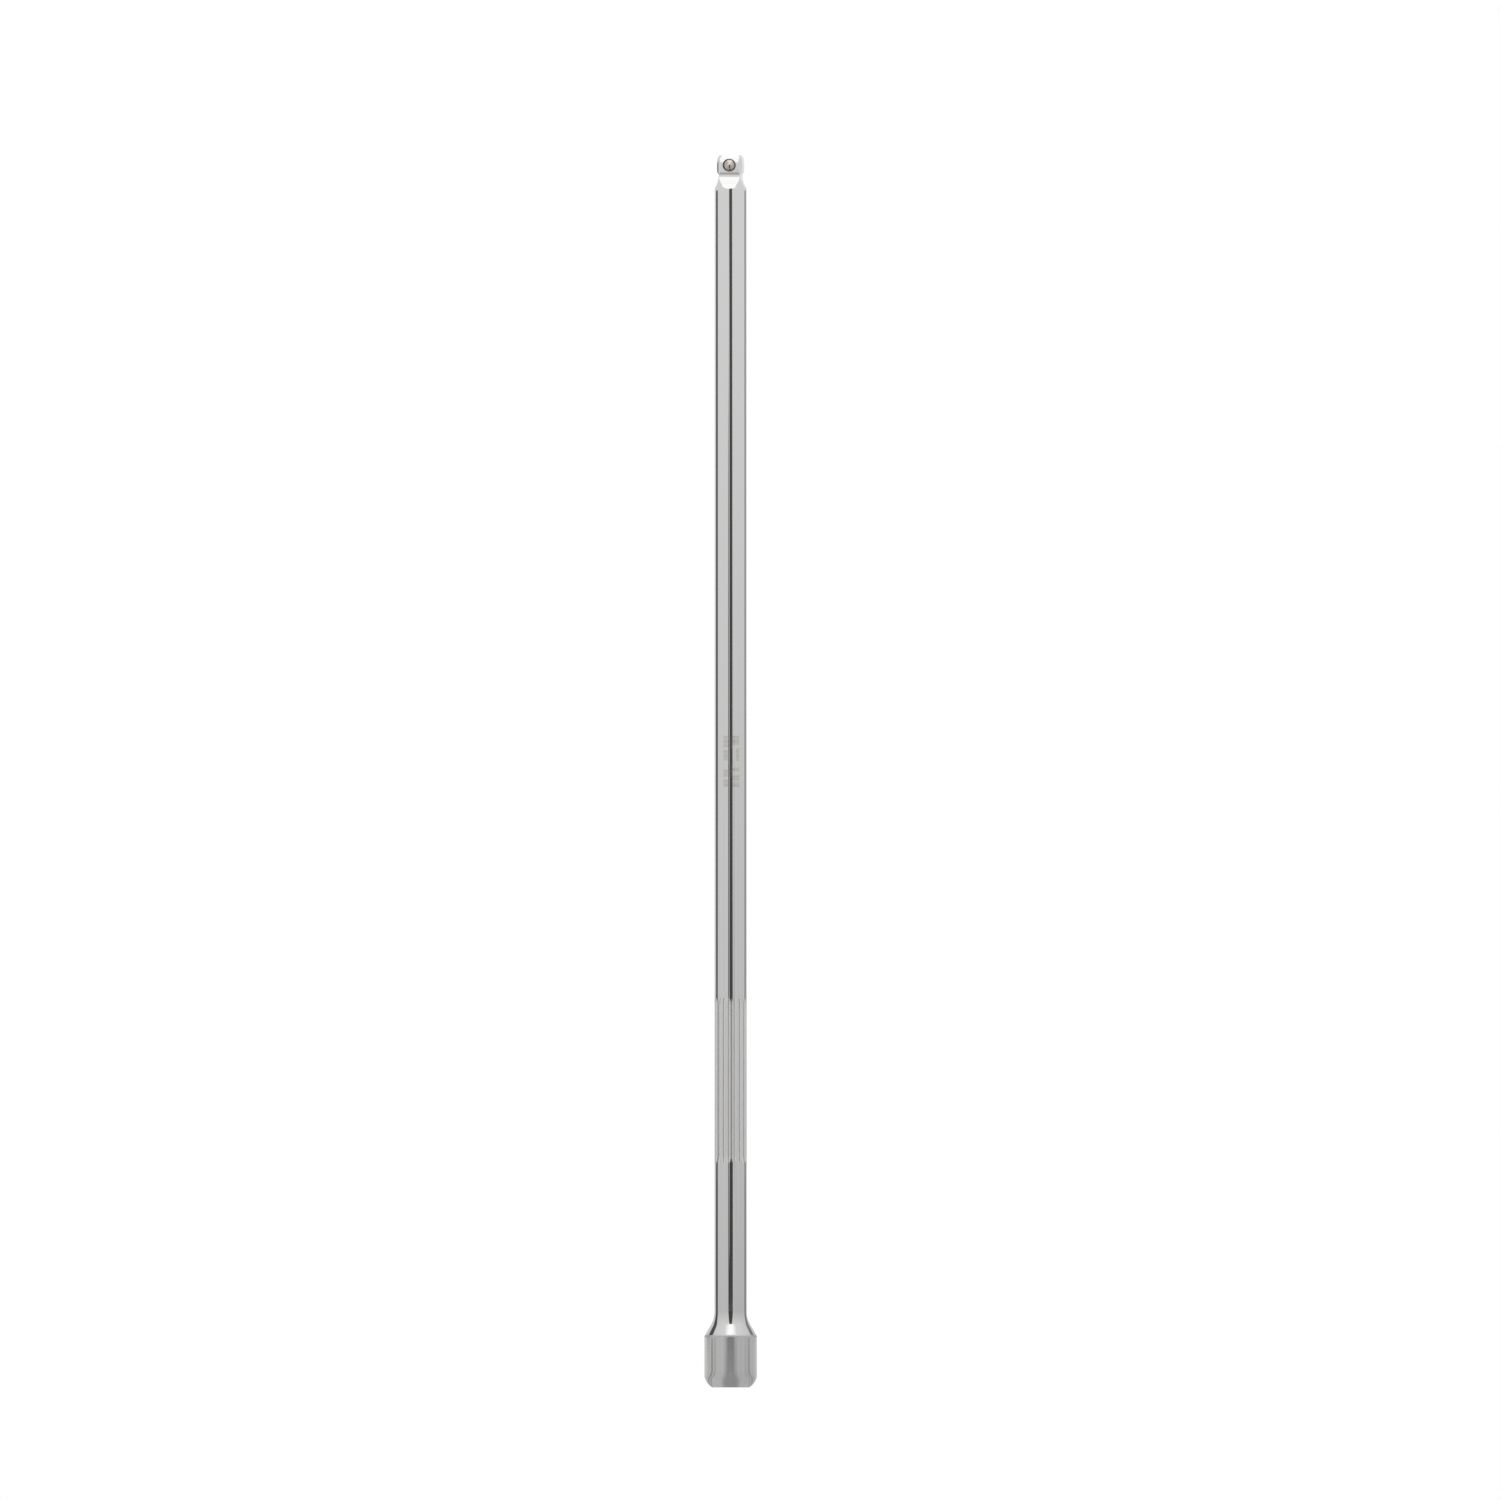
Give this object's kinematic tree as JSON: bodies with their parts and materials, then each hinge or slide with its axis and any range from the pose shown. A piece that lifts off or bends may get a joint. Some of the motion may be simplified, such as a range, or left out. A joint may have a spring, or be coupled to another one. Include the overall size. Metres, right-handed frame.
{
  "type": "wobble socket extension bar",
  "caption": "Long round extension bar for socket wrenches, with a square drive hole, a fluted grip and a waisted square tang that holds a sprung ball.",
  "frame": {"origin": "centre of the flat mouth of the socket end, on the bar's axis, where the bar stands", "axes": "+Z along the bar from the socket mouth to the tip of the drive tang; -Y is the side of the tang that the detent ball looks out of; +X is across"},
  "size_m": [0.013, 0.013, 0.3048],
  "materials": {
    "chrome_bar": "polished chrome plate on the shank and tang, satin on the socket end and the fluted grip",
    "detent_ball": "polished hardened steel ball",
    "spring_wire": "drawn spring wire"
  },
  "bodies": {
    "bar": {"extension_bar": "chrome_bar", "detent_spring": "spring_wire"},
    "ball": {"detent_ball": "detent_ball"}
  },
  "joints": [
    {"name": "ball_press", "type": "slide", "parent": "bar", "child": "ball", "axis": [0, 1, 0], "range_m": [0, 0.00075], "stiffness_N_per_m": 3050, "springref_m": -0.0006, "deforming": ["detent_spring"]}
  ]
}
